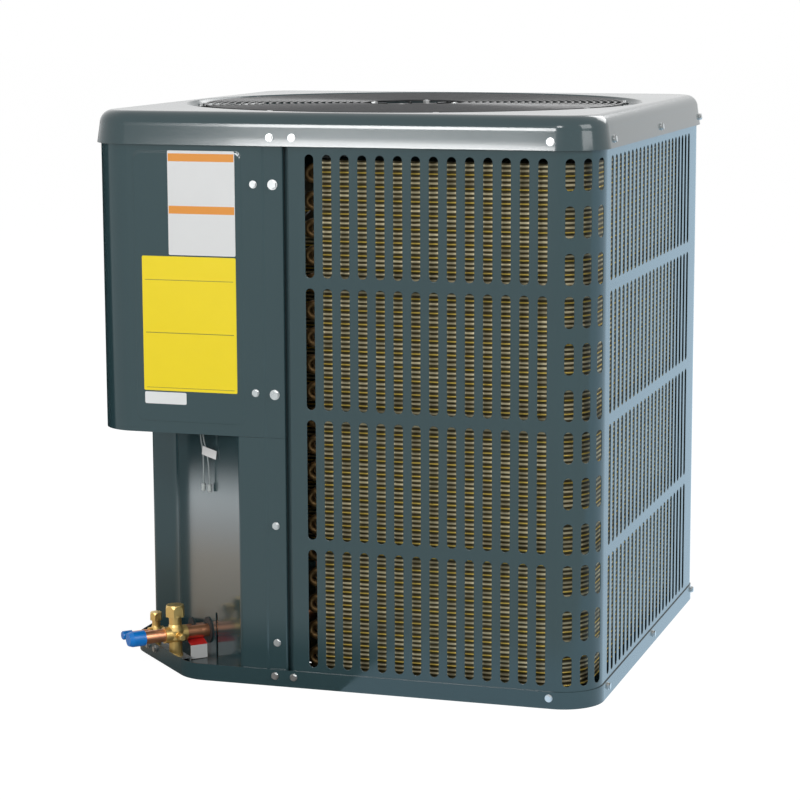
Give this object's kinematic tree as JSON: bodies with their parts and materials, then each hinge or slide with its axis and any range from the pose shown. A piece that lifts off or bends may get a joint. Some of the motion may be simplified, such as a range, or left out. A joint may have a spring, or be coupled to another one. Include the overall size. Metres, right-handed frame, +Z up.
{
  "type": "refrigeration condensing unit",
  "caption": "Square louvred air-cooled condensing unit with a top fan guard, wrapped control cover, cut-corner base pan and capped brass service valves.",
  "frame": {"origin": "on the ground under the centre of the cabinet", "axes": "+Z up, -Y is the front with the wider half of the control cover and the first louvred face, the service valves stand at the -X -Y corner"},
  "size_m": [0.75, 0.75, 0.811],
  "materials": {
    "cabinet_paint": "gloss powder coat",
    "guard_coating": "satin vinyl-coated wire",
    "zinc": "zinc plated",
    "motor_paint": "satin black",
    "bright_steel": "bright",
    "blade_aluminium": "mill finish",
    "coated_fins": "gold-tinted coating",
    "copper": "bare copper",
    "rubber": "matt",
    "galvanised": "galvanised",
    "shell_paint": "gloss black",
    "black_plastic": "matt",
    "drier_paint": "satin",
    "tag_card": "printed card",
    "can_metal": "drawn can",
    "brass": "forged and turned",
    "brass_bright": "turned",
    "lead_sleeve": "extruded sleeve",
    "clear_nylon": "translucent nylon",
    "blue_plastic": "moulded"
  },
  "bodies": {
    "cabinet": {"base_pan": "cabinet_paint", "louvre_panel_front_right": "cabinet_paint", "louvre_panel_back_left": "cabinet_paint", "control_cover": "cabinet_paint", "service_corner_panel": "cabinet_paint", "top_cap": "cabinet_paint", "fan_guard": "guard_coating", "guard_screws": "zinc", "fan_motor": "motor_paint", "motor_studs": "zinc", "coil_fins": "coated_fins", "coil_return_bends": "copper", "coil_feet": "rubber", "tube_sheet_front": "galvanised", "tube_sheet_left": "galvanised", "compressor_shell": "shell_paint", "compressor_grommets": "rubber", "compressor_studs": "zinc", "terminal_cover": "black_plastic", "discharge_line": "copper", "suction_line": "copper", "liquid_line": "copper", "filter_drier": "drier_paint", "pipe_grommets": "rubber", "valve_bracket": "galvanised", "bracket_screws": "zinc", "pipe_tag": "tag_card", "control_box": "galvanised", "contactor_body": "black_plastic", "run_capacitor": "can_metal", "capacitor_strap": "galvanised", "ground_lug": "brass_bright", "lead_bushing": "black_plastic", "lead_a": "lead_sleeve", "lead_b": "lead_sleeve", "lead_caps": "clear_nylon", "lead_tag": "tag_card", "cap_screws": "zinc", "base_screws": "zinc", "cover_screws": "zinc", "land_screws": "zinc", "post_screws": "zinc", "suction_valve_body": "brass", "suction_stub": "copper", "liquid_valve_body": "brass", "liquid_stub": "copper"},
    "fan": {"fan_blades": "blade_aluminium", "motor_shaft": "bright_steel"},
    "armature": {"contactor_armature": "bright_steel"},
    "suction_seal": {"suction_cap_seal": "copper"},
    "suction_stem_cap": {"suction_stem_cap": "brass"},
    "suction_gasket": {"suction_port_gasket": "rubber"},
    "suction_port_cap": {"suction_port_cap": "brass"},
    "suction_plug": {"suction_plug": "blue_plastic"},
    "liquid_seal": {"liquid_cap_seal": "copper"},
    "liquid_stem_cap": {"liquid_stem_cap": "brass"},
    "liquid_gasket": {"liquid_port_gasket": "rubber"},
    "liquid_port_cap": {"liquid_port_cap": "brass"},
    "liquid_plug": {"liquid_plug": "blue_plastic"}
  },
  "joints": [
    {"name": "fan_spin", "type": "hinge", "parent": "cabinet", "child": "fan", "pos_m": [0, 0, 0.705], "axis": [0, 0, 1], "continuous": true},
    {"name": "armature_travel", "type": "slide", "parent": "cabinet", "child": "armature", "axis": [0.7071, 0.7071, 0], "range_m": [0, 0.004], "stiffness_N_per_m": 400, "springref_m": -0.002},
    {"name": "suction_cap_lift", "type": "slide", "parent": "cabinet", "child": "suction_seal", "axis": [0, 0, 1], "range_m": [0, 0.009]},
    {"name": "suction_cap_turn", "type": "hinge", "parent": "suction_seal", "child": "suction_stem_cap", "pos_m": [-0.27577, -0.29981, 0.046], "axis": [0, 0, 1], "range_deg": [0, 2160]},
    {"name": "suction_port_lift", "type": "slide", "parent": "cabinet", "child": "suction_gasket", "axis": [0.7071, -0.7071, 0], "range_m": [0, 0.008]},
    {"name": "suction_port_turn", "type": "hinge", "parent": "suction_gasket", "child": "suction_port_cap", "pos_m": [-0.27577, -0.29981, 0.046], "axis": [0.7071, -0.7071, 0], "range_deg": [0, 2880]},
    {"name": "suction_plug_pull", "type": "slide", "parent": "cabinet", "child": "suction_plug", "axis": [-0.7071, -0.7071, 0], "range_m": [0, 0.03]},
    {"name": "liquid_cap_lift", "type": "slide", "parent": "cabinet", "child": "liquid_seal", "axis": [0, 0, 1], "range_m": [0, 0.009]},
    {"name": "liquid_cap_turn", "type": "hinge", "parent": "liquid_seal", "child": "liquid_stem_cap", "pos_m": [-0.32881, -0.24678, 0.033], "axis": [0, 0, 1], "range_deg": [0, 2160]},
    {"name": "liquid_port_lift", "type": "slide", "parent": "cabinet", "child": "liquid_gasket", "axis": [0.7071, -0.7071, 0], "range_m": [0, 0.008]},
    {"name": "liquid_port_turn", "type": "hinge", "parent": "liquid_gasket", "child": "liquid_port_cap", "pos_m": [-0.32881, -0.24678, 0.033], "axis": [0.7071, -0.7071, 0], "range_deg": [0, 2880]},
    {"name": "liquid_plug_pull", "type": "slide", "parent": "cabinet", "child": "liquid_plug", "axis": [-0.7071, -0.7071, 0], "range_m": [0, 0.022]}
  ],
  "couplings": [
    {"joint": "suction_cap_turn", "follows": "suction_cap_lift", "rad_per_m": 4188.8},
    {"joint": "suction_port_turn", "follows": "suction_port_lift", "rad_per_m": 6283.2},
    {"joint": "liquid_cap_turn", "follows": "liquid_cap_lift", "rad_per_m": 4188.8},
    {"joint": "liquid_port_turn", "follows": "liquid_port_lift", "rad_per_m": 6283.2}
  ]
}
